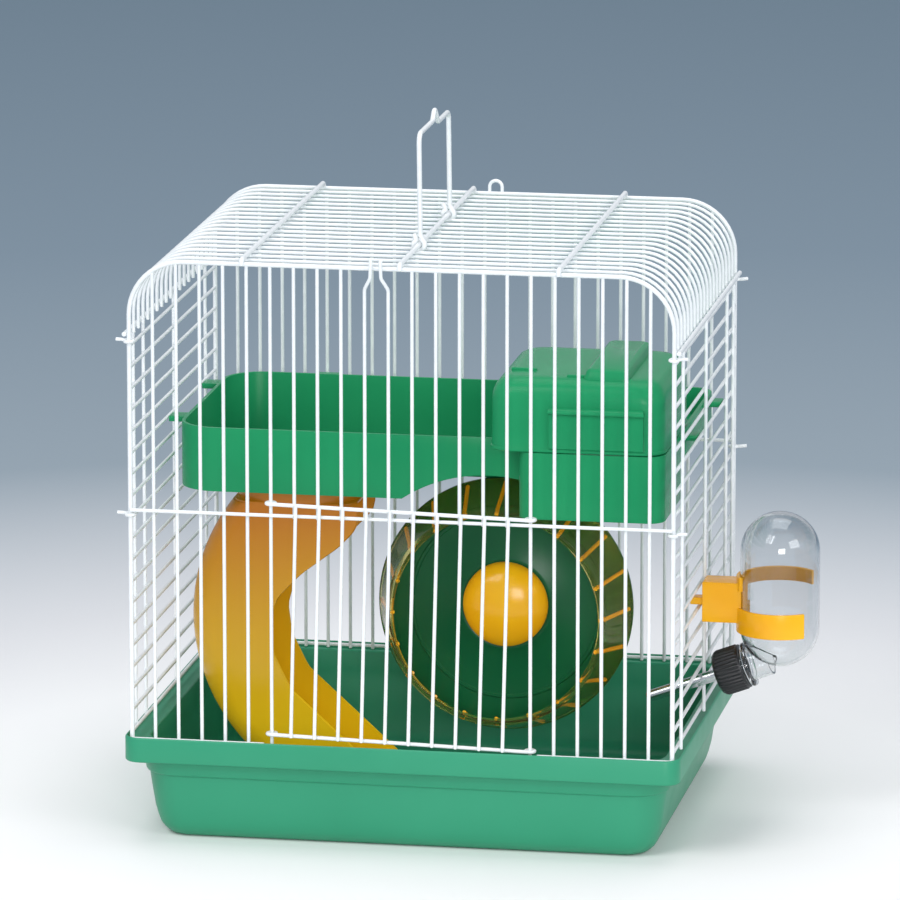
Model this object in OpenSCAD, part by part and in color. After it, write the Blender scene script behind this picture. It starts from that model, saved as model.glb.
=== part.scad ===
// Small wire hamster cage with a plastic tray, loft, nest box, slide, wheel and water bottle.
// Frame: +Z up, front face towards -Y, origin at the centre of the tray's underside.

/* [Wire cage] */
// Width between the corner posts
cage_w = 300; // [296:1:304]
// Depth between the front and rear panels
cage_d = 230; // [228:1:234]
// Height of the roof wires above the table
roof_z = 325; // [322:1:335]
// Radius of the rounded roof corners
corner_r = 30; // [24:1:34]
// Number of gaps between the front bars
bar_gaps = 23; // [23]
// Number of gaps between the roof wires
roof_gaps = 19; // [17:1:21]
// Diameter of the bars and mesh wires
wire_d = 2; // [1.8:0.1:2.1]
// Diameter of the frame wires
frame_d = 2.6; // [2.4:0.1:2.6]
// Height of the middle rail of the front and rear panels
mid_z = 186.5; // [185:0.5:188]
// Height of the rails that close the roof sheet at both sides
eave_z = 284; // [282:1:286]

/* [Tray] */
// Width of the tray over its rim
tray_w = 309; // [309:1:312]
// Depth of the tray over its rim
tray_d = 242; // [242:1:246]
// Height of the rim's lip
rim_z = 59; // [59:1:60]
// Wall thickness of the tray
tray_t = 2; // [1.8:0.2:2.4]

/* [Front door] */
// First and last bar that the door runs on
door_bars_at = [6, 17]; // [6:17]
// Lean of the loosely hung door, in degrees
door_lean = 1.4; // [0:0.2:1.4]

/* [Carry handle] */
// Front and rear foot of the handle along the middle rib
handle_y = [-57.2, 34.5]; // [-60:0.1:40]
// Height of the handle above the roof wires
handle_h = 64; // [50:1:75]
// Diameter of the handle wire
handle_d = 2.8; // [2.4:0.1:3]

/* [Loft and nest box] */
// Height of the loft's underside
loft_z = 184.5; // [184.5]
// Height of the loft's rim
loft_top = 220.5; // [218:0.5:220.5]
// Height of the nest box roof
nest_top = 262; // [258:1:266]

/* [Wheel] */
// Radius of the wheel at its rear disc
wheel_r = 72; // [70:1:72]
// Radius of the wheel at its front opening
wheel_mouth_r = 60.3; // [56:0.1:64]
// Width of the running track
wheel_w = 36; // [32:1:38]
// Number of rungs in the track
rungs = 20; // [18:1:30]

/* [Slide] */
// Outer radius of the curved chute
chute_r = 106; // [104:1:106]
// Inner radius of the curved chute
chute_in_r = 52; // [50:1:54]
// Width of the chute
chute_w = 54; // [50:1:56]

/* [Water bottle] */
// Radius of the bottle
bottle_r = 22; // [22]
// Slope of the bottle's neck and drinking tube, in degrees
neck_slope = 20.5; // [20.5]
// Length of the drinking tube outside the cap
tube_len = 41; // [36:1:44]

/* [Hidden] */
$fn = 48;

gap = 0.05;                      // between wires that are welded on the real cage
hw = cage_w / 2;
hd = cage_d / 2;
pitch = cage_w / bar_gaps;
seat_z = rim_z - 3;              // shelf of the tray that the cage stands on
foot_z = seat_z + 0.3;           // lowest point of the cage wires
rail_d = 2;                    // rails that cross the bars
rail_y = hd + wire_d / 2 + rail_d / 2 + gap;
post_x = hw + wire_d / 2 + wire_d / 2 + gap;
mesh_z0 = 61.5;                  // lowest mesh wire of the side panels
mesh_pitch = 12;
mesh_n = 19;
rib_d = 2.8;
rib_z = roof_z + frame_d / 2 + rib_d / 2 + gap;
rib_x = 87;
wall = 2;                        // plastic wall thickness

wheel_x = 38;
wheel_z = 113.4;
wheel_rear_y = 4;
pin_r = 2.5;
arch_r = 86;                     // tunnel over the wheel in the loft's floor
arch_end = 9;

chute_c = [-26, -23, 111];       // centre of the chute's curve
bottle_c = [195.5, -20, 112.5];  // centre of the bottle's lower dome
bottle_straight = 43;
neck_at = 96.7;                  // height where the neck's axis meets the bottle's axis
cap_from = 20.5;                 // distances along the neck's axis
cap_len = 16;

wire_color = [0.93, 0.96, 0.97];
green = [0.17, 0.64, 0.45];
tray_green = [0.25, 0.63, 0.49];
amber = [0.91, 0.62, 0.12, 0.8];
clear = [0.9, 0.95, 0.98, 0.4];

// ---------------------------------------------------------------- helpers
function rounded_points(w, d, r, n = 8) =
    [for (c = [0:3]) for (k = [0:n])
        let (a = 90 * c + 90 * k / n,
             sx = (c == 0 || c == 3) ? 1 : -1,
             sy = c < 2 ? 1 : -1)
        [sx * (w / 2 - r) + r * cos(a), sy * (d / 2 - r) + r * sin(a)]];

function bar_x(i) = -hw + pitch * i;
// how far a bar at x can rise under the roof frame with its rounded corners
function bar_top(x) =
    let (out = abs(x) + wire_d / 2 - hw + corner_r)
    out <= 0 ? roof_z - frame_d / 2 - gap
    : roof_z - corner_r + sqrt(pow(corner_r - frame_d / 2, 2) - pow(out, 2)) - gap;

module prism(w, d, r, z0, z1, x = 0, y = 0)
    translate([x, y, z0]) linear_extrude(z1 - z0) polygon(rounded_points(w, d, r));

module wire_x(x0, x1, y, z, d)
    translate([x0, y, z]) rotate([0, 90, 0]) cylinder(h = x1 - x0, d = d, $fn = 24);

module wire_y(y0, y1, x, z, d)
    translate([x, y0, z]) rotate([-90, 0, 0]) cylinder(h = y1 - y0, d = d, $fn = 24);

module wire_z(z0, z1, x, y, d)
    translate([x, y, z0]) cylinder(h = z1 - z0, d = d, $fn = 24);

// quarter bend in the XZ plane from the top wire down to a post; side is -1 or 1
module corner_bend(side, y, d)
    translate([side * (hw - corner_r), y, roof_z - corner_r])
        rotate([90, 0, 0]) rotate([0, 0, side > 0 ? 0 : 90])
            rotate_extrude(angle = 90, $fn = 64)
                translate([corner_r, 0]) circle(d = d, $fn = 24);

// closed ring about a vertical axis
module ring_z(x, y, z, r, d)
    translate([x, y, z]) rotate_extrude($fn = 32) translate([r, 0]) circle(d = d, $fn = 24);

// ring about an axis along Y
module ring_y(x, y, z, r, d)
    translate([x, y, z]) rotate([90, 0, 0])
        rotate_extrude($fn = 32) translate([r, 0]) circle(d = d, $fn = 24);

// straight rod between two points
module rod(a, b, d) {
    v = b - a;
    turn = atan2(v.y, v.x);
    tilt = atan2(norm([v.x, v.y]), v.z);
    translate(a) rotate([0, tilt, turn]) cylinder(h = norm(v), d = d, $fn = 24);
}

// bent wire laid in the XY plane from the origin along +X; every step is
// [straight length, bend radius, turn in degrees, positive to the left]
module bent_wire(steps, d, i = 0) {
    step = steps[i];
    turn = len(step) > 1 ? step[2] : 0;
    r = len(step) > 1 ? step[1] : 0;
    side = turn < 0 ? -1 : 1;
    // the straight lengths reach a little way into the slightly thicker bends
    from = i > 0 ? -0.1 : 0;
    to = step[0] + (turn != 0 ? 0.1 : 0);
    translate([from, 0, 0]) rotate([0, 90, 0]) cylinder(h = to - from, d = d, $fn = 24);
    if (turn != 0)
        translate([step[0], side * r, 0]) rotate([0, 0, side > 0 ? -90 : 90 + turn])
            rotate_extrude(angle = abs(turn), $fn = 64)
                translate([r, 0]) circle(d = d + 0.1, $fn = 24);
    if (i < len(steps) - 1)
        translate([step[0] + r * sin(abs(turn)), side * r * (1 - cos(turn)), 0])
            rotate([0, 0, turn]) bent_wire(steps, d, i + 1);
}

// places its children with +X along the neck, starting on the bottle's axis
module along_neck(distance)
    translate([bottle_c.x, bottle_c.y, neck_at]) rotate([0, 180 - neck_slope, 0])
        translate([distance, 0, 0]) children();

// tube about the neck's axis
module neck_tube(from, to, r_out, r_in)
    along_neck(from) rotate([0, 90, 0]) difference() {
        cylinder(h = to - from, r = r_out);
        translate([0, 0, -1]) cylinder(h = to - from + 2, r = r_in);
    }

// ------------------------------------------------------------------- tray
module bowl(inset) {
    top = [291, 229];
    hull() {
        prism(top.x - 2 * inset, top.y - 2 * inset, 20 - inset, 45, seat_z + (inset > 0 ? 5 : 0));
        prism(283 - 2 * inset, 222 - 2 * inset, 18 - inset, 16, 16.1);
        prism(277 - 2 * inset, 216 - 2 * inset, 16 - inset, 5.5 + inset, 5.6 + inset);
        prism(266 - 2 * inset, 205 - 2 * inset, 12 - inset, 0.8 + inset, 0.9 + inset);
    }
}

module base_tray() color(tray_green) difference() {
    union() {
        bowl(0);
        hull() {
            prism(294.5, 232.5, 21, 45, 46);
            prism(291, 229, 21, 36.5, 36.6);
        }
        difference() {
            prism(tray_w, tray_d, 9, 45, rim_z);
            prism(tray_w - 4.4, tray_d - 4.4, 7, 44, seat_z - 2.4);
            prism(tray_w - 2.4, tray_d - 2.4, 8, seat_z, rim_z + 1);
        }
        prism(254, 194, 10, 0, 2);
    }
    bowl(tray_t);
}

// ------------------------------------------------------------- wire panels
module panel_frame(y) color(wire_color) {
    for (side = [-1, 1]) {
        wire_z(foot_z, roof_z - corner_r - gap, side * hw, y, frame_d);
        corner_bend(side, y, frame_d);
    }
    wire_x(-hw + corner_r + gap, hw - corner_r - gap, y, roof_z, frame_d);
}

module upright(i, y, z0)
    wire_z(z0, bar_top(bar_x(i)), bar_x(i), y, wire_d);

module front_frame() panel_frame(-hd);

module front_bars() color(wire_color)
    for (i = [1:bar_gaps - 1])
        if (i != 10 && i != 11)
            upright(i, -hd, i > door_bars_at[0] && i < door_bars_at[1] ? mid_z - 2 : foot_z);

// middle rail and the two short rails beside the door
module front_rails() color(wire_color) {
    wire_x(-hw, hw, -rail_y, mid_z, rail_d);
    low = foot_z + rail_d / 2 + 0.4;
    wire_x(-hw, bar_x(door_bars_at[0]) - 4, -rail_y, low, rail_d);
    wire_x(bar_x(door_bars_at[1]) + 4, hw, -rail_y, low, rail_d);
}

// two springy bars whose bent ends snap over the roof's front wire
module front_latch() color(wire_color)
    for (side = [-1, 1]) {
        x = bar_x(side < 0 ? 10 : 11);
        // the prong leans forwards past the roof wire, and inwards
        out = frame_d / 2 + wire_d / 2 + 0.25;
        inwards = 3.8;
        lean = atan2(inwards, out);
        run = (norm([inwards, out]) - 8 * (1 - cos(38))) / sin(38);
        translate([x, -hd, mid_z - 2]) rotate([0, 0, side < 0 ? lean : -lean])
            rotate([0, -90, 0]) union()
                bent_wire([[roof_z - 12 - mid_z + 2, 4, -38], [run, 4, 38], [8]], wire_d);
    }

module rear_frame() panel_frame(hd);

module rear_bars() color(wire_color)
    for (i = [1:bar_gaps - 1]) upright(i, hd, foot_z);

module rear_rails() color(wire_color) {
    wire_x(-hw, hw, rail_y, mid_z, rail_d);
    wire_x(-hw, hw, rail_y, foot_z + rail_d / 2 + 0.4, rail_d);
}

// small loop standing on the rear wire, for hanging the cage and holding the roof
module rear_latch_loop() color(wire_color)
    translate([12.5, hd + frame_d / 2 + wire_d / 2 + gap, roof_z + 3.5])
        rotate([90, 0, 0]) rotate_extrude(angle = 300, $fn = 40)
            translate([3.6, 0]) circle(d = wire_d, $fn = 24);

module side_wires(side) color(wire_color)
    for (k = [0:mesh_n - 1])
        wire_y(-hd + frame_d / 2 + gap, hd - frame_d / 2 - gap,
               side * hw, mesh_z0 + mesh_pitch * k, wire_d);

// uprights outside the mesh; the two side panels are one design turned by half a turn
module side_posts(side) color(wire_color)
    for (y = [-96, -10, 70, 96])
        wire_z(rim_z + 0.8, eave_z - frame_d / 2 - gap, side * post_x, side * y, wire_d);

module left_side_wires() side_wires(-1);
module left_side_posts() side_posts(-1);
module right_side_wires() side_wires(1);
module right_side_posts() side_posts(1);

// -------------------------------------------------------------------- roof
function roof_y(k) = -hd + cage_d * k / roof_gaps;

module roof_wires() color(wire_color)
    for (k = [1:roof_gaps - 1])
        wire_x(-hw + corner_r + gap, hw - corner_r - gap, roof_y(k), roof_z, wire_d);

module roof_corner_wires() color(wire_color)
    for (k = [1:roof_gaps - 1], side = [-1, 1]) {
        corner_bend(side, roof_y(k), wire_d);
        wire_z(eave_z - 1.5, roof_z - corner_r - gap, side * hw, roof_y(k), wire_d);
    }

module roof_ribs() color(wire_color)
    for (x = [-rib_x, 0, rib_x]) wire_y(-hd - 1.5, hd + 1.5, x, rib_z, rib_d);

module roof_eaves() color(wire_color)
    for (side = [-1, 1])
        wire_y(-hd - 1, hd + 1, side * (hw + frame_d + gap), eave_z, frame_d);

// rings that tie the panels together at the four corner posts
module corner_clips() color(wire_color)
    for (sx = [-1, 1], sy = [-1, 1], z = [mid_z - 2.5, eave_z - 3.4]) {
        r = frame_d / 2 + wire_d / 2 + gap;
        ring_z(sx * hw, sy * hd, z, r, wire_d);
        out = r + wire_d / 2 + gap;
        rotate_x = sx > 0 ? 0 : -4.5;
        wire_x(sx * (hw + out) + rotate_x, sx * (hw + out) + rotate_x + 4.5, sy * hd, z, wire_d);
    }

// -------------------------------------------------------------- front door
door_bottom = rim_z + 2.7;
door_top = mid_z + 4.6;
guide_x = bar_x(door_bars_at[1]);
eye_d = 2.2;
eye_r = wire_d / 2 + eye_d / 2 + 0.3;
door_rail_y = -hd - eye_r;
function lean_drop(x) = -x * tan(door_lean);

module door_rails() color(wire_color)
    for (z = [door_bottom, door_top]) {
        for (side = [-1, 1])
            ring_z(side * guide_x, -hd, z + lean_drop(side * guide_x), eye_r, eye_d);
        run = guide_x - eye_r - eye_d / 2 - gap;
        rod([-run, door_rail_y, z + lean_drop(-run)], [run, door_rail_y, z + lean_drop(run)], 2);
    }

module door_wires() color(wire_color)
    for (i = [door_bars_at[0] + 1:door_bars_at[1] - 1]) {
        x = bar_x(i);
        shift = (door_top - door_bottom) * tan(door_lean) / 2;
        y = door_rail_y - 1 - wire_d / 2 - gap;
        rod([x - shift, y, door_bottom - 0.6 + lean_drop(x)],
            [x + shift, y, door_top + 1 + lean_drop(x)], wire_d);
    }

// ------------------------------------------------------------ carry handle
handle_eye_r = rib_d / 2 + handle_d / 2 + 0.3;
handle_base = rib_z + handle_eye_r + handle_d / 2 + gap;

module carry_handle() color(wire_color)
    translate([0, handle_y[0], handle_base]) rotate([0, -90, 0]) union()
        bent_wire([[roof_z + handle_h - handle_base - 6, 6, 90],
                   [-16.1 - handle_y[0] - 6, 3, -55], [3, 3, 55], [1, 3, 55], [6.6, 3, -55],
                   [handle_y[1] - 6 - 0.22, 6, 90],
                   [roof_z + handle_h - 3 - handle_base - 6]], handle_d);

// eyes of the handle, closed round the middle rib
module handle_eyes() color(wire_color)
    for (y = handle_y) ring_y(0, y, rib_z, handle_eye_r, handle_d);

// ------------------------------------------------------ loft and nest box
loft_x = [-138, 60];
loft_y = [-55, 100];
nest_x = [60.4, 141];
nest_y = [-93, -20];
shelf_z = 203;                   // underside of the raised floor behind the nest box

module loft_outline(inset) {
    intersection() {
        translate([(loft_x[0] + 110) / 2, (loft_y[0] + loft_y[1]) / 2])
            polygon(rounded_points(110 - loft_x[0] - 2 * inset,
                                   loft_y[1] - loft_y[0] - 2 * inset, 22 - inset));
        translate([-200, -200]) square([200 + loft_x[1] - inset, 400]);
    }
    translate([(20 + nest_x[1]) / 2, (nest_y[1] + 0.4 + loft_y[1]) / 2])
        polygon(rounded_points(nest_x[1] - 20 - 2 * inset,
                               loft_y[1] - nest_y[1] - 0.4 - 2 * inset, 12 - inset));
}

module wheel_cylinder(r, y0, y1)
    translate([wheel_x, y0, wheel_z]) rotate([-90, 0, 0]) cylinder(h = y1 - y0, r = r, $fn = 96);

module loft() color(green) {
    difference() {
        union() {
            difference() {
                translate([0, 0, loft_z]) linear_extrude(loft_top - loft_z) loft_outline(0);
                translate([0, 0, loft_z + wall]) linear_extrude(60) intersection() {
                    loft_outline(wall);
                    translate([-200, -200]) square([200 + loft_x[1] - wall, 400]);
                }
                translate([0, 0, shelf_z + wall]) linear_extrude(60) loft_outline(wall);
                translate([loft_x[1], -60, loft_z - 1]) cube([90, 170, shelf_z - loft_z + 1]);
            }
            intersection() {
                wheel_cylinder(arch_r + wall, loft_y[0], arch_end);
                translate([-60, -80, loft_z]) cube([60 + loft_x[1], 100, 30]);
            }
        }
        wheel_cylinder(arch_r, loft_y[0] - 1, arch_end - wall);
        prism(2 * collar_rx + 0.8, chute_w + 0.8, 26.4, loft_z - 1, loft_z + 5, collar_c.x, collar_c.y);
    }
}

// tabs that hang the loft on the side and rear wires
module loft_clips() color(green) {
    z = loft_top - 5;
    for (y = [-20, 70]) {
        translate([-hw + wire_d / 2 + 0.3, y, z]) cube([hw + loft_x[0] - wire_d / 2 - 0.35, 12, 3]);
        translate([nest_x[1] + gap, y, z]) cube([hw - wire_d / 2 - 0.35 - nest_x[1], 12, 3]);
    }
    for (x = [-90, 20])
        translate([x, loft_y[1] + gap, z]) cube([14, hd - wire_d / 2 - 0.35 - loft_y[1], 3]);
}

module nest_base() color(green) {
    w = nest_x[1] - nest_x[0];
    d = nest_y[1] - nest_y[0];
    cx = (nest_x[0] + nest_x[1]) / 2;
    cy = (nest_y[0] + nest_y[1]) / 2;
    difference() {
        prism(w, d, 9, loft_z, nest_top - 40.5, cx, cy);
        prism(w - 2 * wall, d - 2 * wall, 7, loft_z + wall, nest_top, cx, cy);
        translate([nest_x[0] + 12, nest_y[1] - 6, shelf_z + wall]) cube([w - 24, 10, 40]);
    }
}

roof_x = [44, 141];
roof_yy = [-93, 8];

module nest_shell(inset, z0) {
    w = roof_x[1] - roof_x[0] - 2 * inset;
    d = roof_yy[1] - roof_yy[0] - 2 * inset;
    cx = (roof_x[0] + roof_x[1]) / 2;
    cy = (roof_yy[0] + roof_yy[1]) / 2;
    hull() {
        prism(w, d, 12 - inset, z0, z0 + 1, cx, cy);
        prism(w - 1.5, d - 1.5, 12 - inset, nest_top - 11 - inset, nest_top - 10.9 - inset, cx, cy);
        prism(w - 5, d - 5, 12 - inset, nest_top - 4.5 - inset, nest_top - 4.4 - inset, cx, cy);
        prism(w - 13, d - 13, 9 - inset, nest_top - 1 - inset, nest_top - 0.9 - inset, cx, cy);
        prism(w - 20, d - 20, 8 - inset, nest_top - 0.1 - inset, nest_top - inset, cx, cy);
    }
}

// lift-off roof of the nest box with two doorways and a raised ridge
module nest_roof() color(green) {
    z0 = nest_top - 40.2;
    difference() {
        union() {
            nest_shell(0, z0);
            translate([78, roof_yy[0] - 1.2, z0 + 2]) cube([52, 4, 22]);
            hull() {
                prism(24, 84, 4, nest_top - 2, nest_top + 3, 108, -42);
                prism(19, 79, 3, nest_top + 4.9, nest_top + 5, 108, -42);
            }
            for (p = [[60, -66], [93, -80]])
                translate([p.x - 7, p.y - 1.2, nest_top - 1]) cube([14, 2.4, 2.2]);
        }
        nest_shell(wall, z0 - 1);
        translate([roof_x[0] - 5, -50, z0 - 1]) cube([12, 26, 14]);
        translate([roof_x[0] - 5, -37, z0 + 13]) rotate([0, 90, 0]) cylinder(h = 12, r = 13);
        translate([74, roof_yy[1] - 7, z0 - 1]) cube([30, 12, 12]);
        translate([89, roof_yy[1] - 7, z0 + 11]) rotate([-90, 0, 0]) cylinder(h = 12, r = 15);
    }
}

// ------------------------------------------------------------------- slide
collar_rx = 35;                  // half length of the slide's mouth
collar_c = [-73, -23];

chute_t = 1.8;
chute_bend = 15.5;               // rounding of the chute's two lower edges
throat_z = 177;                  // the curved chute meets the collar's base plate here

// U-shaped section of the chute, x is the radius from the curve's centre
module chute_section(inset) {
    half = chute_w / 2;
    r = chute_bend - inset;
    low = chute_in_r - (inset > 0 ? 5 : 0);
    for (side = [-1, 1])
        translate([chute_r - chute_bend, side * (half - chute_bend)]) circle(r = r);
    translate([chute_r - chute_bend, chute_bend - half]) square([r, 2 * (half - chute_bend)]);
    translate([low, inset - half]) square([chute_r - chute_bend - low, 2 * (half - inset)]);
}

module curved_chute() difference() {
    translate(chute_c) rotate([90, 0, 0]) rotate([0, 0, 95])
        rotate_extrude(angle = 180, $fn = 128)
            difference() {
                chute_section(0);
                chute_section(chute_t);
            }
    translate([-160, -60, throat_z - gap]) cube([160, 70, 60]);
    translate([-36, -60, 80]) cube([60, 70, 150]);
    translate([-160, -60, -10]) cube([190, 70, 14.2]);
    translate([-17, -60, -10]) cube([60, 70, 140]);
    // the side walls are lower beside the bend, and get lower still towards the exit
    intersection() {
        translate([chute_c.x, -60, chute_c.z]) rotate([-90, 0, 0]) cylinder(h = 70, r = 60, $fn = 96);
        translate([-160, -60, 40]) cube([120, 70, 88]);
    }
    translate([-72, -60, 69.5]) rotate([0, 42, 0]) cube([100, 70, 60]);
}

// mouth of the slide, hung by its flange in the loft's floor
module slide_collar() {
    w = 2 * collar_rx;
    x = collar_c.x;
    y = collar_c.y;
    difference() {
        union() {
            prism(w, chute_w, 26, throat_z, loft_z + wall + 1.9, x, y);
            prism(w, chute_w, chute_bend, throat_z, throat_z + 1.4, x, y);
            prism(w + 5, chute_w + 5, 28.5, loft_z + wall + gap, loft_z + wall + 2, x, y);
        }
        prism(w - 2 * chute_t, chute_w - 2 * chute_t, 24.2, 170, 200, x, y);
    }
}

module slide_chute() color(amber) {
    curved_chute();
    slide_collar();
}

// ------------------------------------------------------------------- wheel
module about_wheel(y) translate([wheel_x, y, wheel_z]) rotate([-90, 0, 0]) children();

wheel_front_y = wheel_rear_y - wheel_w;

module wheel_track() color(amber)
    about_wheel(wheel_front_y) rotate_extrude($fn = 128)
        polygon([[wheel_mouth_r - 2.6, 0], [wheel_mouth_r + 0.6, 0],
                 [wheel_mouth_r + 1.4, 1.4], [wheel_mouth_r + 1, 3],
                 [wheel_r, wheel_w - gap], [wheel_r - 1.8, wheel_w - gap],
                 [wheel_mouth_r - 1, 3.4], [wheel_mouth_r - 2.6, 2.6]]);

module wheel_rungs() color(amber)
    for (k = [0:rungs - 1]) {
        a = 360 * k / rungs;
        r0 = wheel_mouth_r - 2.6;
        r1 = wheel_r - 3.6;
        translate([wheel_x, 0, wheel_z])
            rod([r0 * cos(a), wheel_front_y + 4.5, r0 * sin(a)],
                [r1 * cos(a), wheel_rear_y - 0.6, r1 * sin(a)], 2.2);
    }

module wheel_disc() color([0.05, 0.35, 0.24])
    about_wheel(wheel_rear_y) difference() {
        cylinder(h = 2, r = wheel_r, $fn = 128);
        translate([0, 0, -1]) cylinder(h = 4, r = pin_r + 0.06);
    }

// domed hub cap in the middle of the disc
module wheel_hub() color(amber)
    about_wheel(wheel_rear_y - gap) difference() {
        rotate_extrude($fn = 96)
            polygon(concat([[0, 0], [24, 0]],
                           [for (k = [0:12]) [24 * cos(k * 7.5), -2 - 12 * sin(k * 7.5)]]));
        translate([0, 0, -12]) cylinder(h = 13, r = pin_r + 0.06);
    }

module wheel_axle() color([0.75, 0.77, 0.8])
    about_wheel(wheel_rear_y) {
        translate([0, 0, -11.5]) cylinder(h = 20, r = pin_r);
        translate([0, 0, 8.5]) cylinder(h = 2, r = pin_r + 2);
    }

module wheel_washer() color([0.75, 0.77, 0.8])
    about_wheel(wheel_rear_y + 2.3) difference() {
        cylinder(h = 1, r = 6);
        translate([0, 0, -1]) cylinder(h = 3, r = pin_r + 0.06);
    }

// strut that hangs from the loft and carries the axle
module wheel_bracket() color(green)
    about_wheel(wheel_rear_y + 3.6) difference() {
        union() {
            cylinder(h = 4.7, r = 12);
            translate([-12, -(loft_z - wheel_z - gap), 0]) cube([24, loft_z - wheel_z - gap, 3.4]);
        }
        translate([0, 0, -1]) cylinder(h = 8, r = pin_r + 0.02);
    }

// ------------------------------------------------------------ water bottle
neck_r = 9.5;
bottle_t = 1.2;

module bottle_shape(inset) {
    r = bottle_r - inset;
    translate(bottle_c) rotate_extrude($fn = 96)
        polygon(concat([for (k = [0:16]) [r * cos(90 - k * 5.625), -r * sin(90 - k * 5.625)]],
                       [for (k = [0:16]) [r * cos(k * 5.625),
                                          bottle_straight + r * sin(k * 5.625)]]));
    along_neck(4) rotate([0, 90, 0])
        cylinder(h = cap_from + cap_len - 7.8 + (inset > 0 ? 3 : 0), r = neck_r - inset);
}

module bottle_body() color(clear) difference() {
    union() {
        bottle_shape(0);
        neck_tube(cap_from - 3.4, cap_from - 1.4, neck_r + 3, neck_r - 1);
    }
    bottle_shape(bottle_t);
}

module bottle_cap() color([0.08, 0.08, 0.09]) difference() {
    union() {
        neck_tube(cap_from, cap_from + cap_len, 12.2, 3.4);
        neck_tube(cap_from + 1.2, cap_from + cap_len - 2.4, 12.9, 3.4);
    }
    along_neck(cap_from - 1) rotate([0, 90, 0]) cylinder(h = cap_len - 1.2, r = neck_r + 0.3);
}

module cap_seal() color([0.25, 0.25, 0.26])
    neck_tube(cap_from + cap_len - 3.5, cap_from + cap_len - 2.3, 9.3, 3.45);

module drinking_tube() color([0.75, 0.77, 0.8]) {
    from = cap_from + cap_len - 1.9;
    to = cap_from + cap_len + tube_len;
    neck_tube(from, to, 3.3, 2.6);
    neck_tube(to + gap, to + 1.2, 3.1, 2.1);
}

module drinking_ball() color([0.75, 0.77, 0.8])
    along_neck(cap_from + cap_len + tube_len - 1.5) sphere(r = 2.4);

// clip with two arms round the bottle, pushed through the side mesh
module bottle_holder() color(amber) {
    arm_r = bottle_r + 0.1;
    back_x = post_x + wire_d / 2 + 0.3;
    difference() {
        union() {
            translate([back_x, bottle_c.y - 9, 115.5])
                cube([bottle_c.x - bottle_r + 2 - back_x, 18, 22.5]);
            translate([bottle_c.x, bottle_c.y, 110.3]) rotate([0, 0, 150])
                rotate_extrude(angle = 162, $fn = 96) translate([arm_r, 0]) square([2, 14]);
            translate([bottle_c.x, bottle_c.y, 133.8]) rotate([0, 0, 40])
                rotate_extrude(angle = 170, $fn = 96) translate([arm_r, 0]) square([2, 8]);
            translate([hw - 4, bottle_c.y - 4, 124]) cube([back_x - hw + 5, 8, 4]);
        }
        translate([bottle_c.x, bottle_c.y, 100]) cylinder(h = 50, r = arm_r, $fn = 96);
        translate([back_x + 4, bottle_c.y - 7, 118])
            cube([bottle_c.x - bottle_r - 3 - back_x - 4, 20, 6]);
    }
}

base_tray();
front_frame();
front_bars();
front_rails();
front_latch();
rear_frame();
rear_bars();
rear_rails();
rear_latch_loop();
left_side_wires();
left_side_posts();
right_side_wires();
right_side_posts();
roof_wires();
roof_corner_wires();
roof_ribs();
roof_eaves();
corner_clips();
door_rails();
door_wires();
carry_handle();
handle_eyes();
loft();
loft_clips();
nest_base();
nest_roof();
slide_chute();
wheel_track();
wheel_rungs();
wheel_disc();
wheel_hub();
wheel_axle();
wheel_washer();
wheel_bracket();
bottle_body();
bottle_holder();
bottle_cap();
cap_seal();
drinking_tube();
drinking_ball();
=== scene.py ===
"""Small wire hamster cage: its finished look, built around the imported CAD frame.

Lengths are in millimetres and angles in degrees; meshes turn into metres as they are made.
"""
import math

import bmesh
import bpy
from mathutils import Matrix, Vector


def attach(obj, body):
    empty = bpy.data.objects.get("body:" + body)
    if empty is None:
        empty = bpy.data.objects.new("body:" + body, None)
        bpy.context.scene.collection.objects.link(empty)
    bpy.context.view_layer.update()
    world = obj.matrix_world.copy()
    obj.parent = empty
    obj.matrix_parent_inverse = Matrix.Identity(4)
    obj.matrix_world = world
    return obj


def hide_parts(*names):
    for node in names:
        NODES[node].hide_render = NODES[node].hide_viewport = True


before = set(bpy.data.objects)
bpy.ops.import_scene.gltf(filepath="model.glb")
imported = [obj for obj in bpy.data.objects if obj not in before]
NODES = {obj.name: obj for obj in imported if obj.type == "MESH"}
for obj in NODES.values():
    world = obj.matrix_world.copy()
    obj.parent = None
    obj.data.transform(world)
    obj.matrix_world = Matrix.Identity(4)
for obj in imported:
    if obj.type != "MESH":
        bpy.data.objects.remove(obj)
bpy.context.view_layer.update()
MM = 0.001


def cosd(degrees):
    return math.cos(math.radians(degrees))


def sind(degrees):
    return math.sin(math.radians(degrees))


# ------------------------------------------------------------------ materials
def shader(m):
    return m.node_tree.nodes["Principled BSDF"]


def material(name, color, rough, **sockets):
    """A Principled material; the other sockets are named with _ in place of spaces."""
    m = bpy.data.materials.new(name)
    m.use_nodes = True
    inputs = shader(m).inputs
    inputs["Base Color"].default_value = (*color, 1)
    inputs["Roughness"].default_value = rough
    for socket, value in sockets.items():
        inputs[socket.replace("_", " ")].default_value = value
    return m


def noise(m, scale, detail=3.0, stretch=(1, 1, 1)):
    """Noise in object coordinates, with its scale per metre; returns the value's socket."""
    tree = m.node_tree
    place = tree.nodes.new("ShaderNodeTexCoord")
    mapping = tree.nodes.new("ShaderNodeMapping")
    mapping.inputs["Scale"].default_value = stretch
    texture = tree.nodes.new("ShaderNodeTexNoise")
    texture.inputs["Scale"].default_value = scale
    texture.inputs["Detail"].default_value = detail
    tree.links.new(place.outputs["Object"], mapping.inputs["Vector"])
    tree.links.new(mapping.outputs["Vector"], texture.inputs["Vector"])
    return texture.outputs[0]


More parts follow.
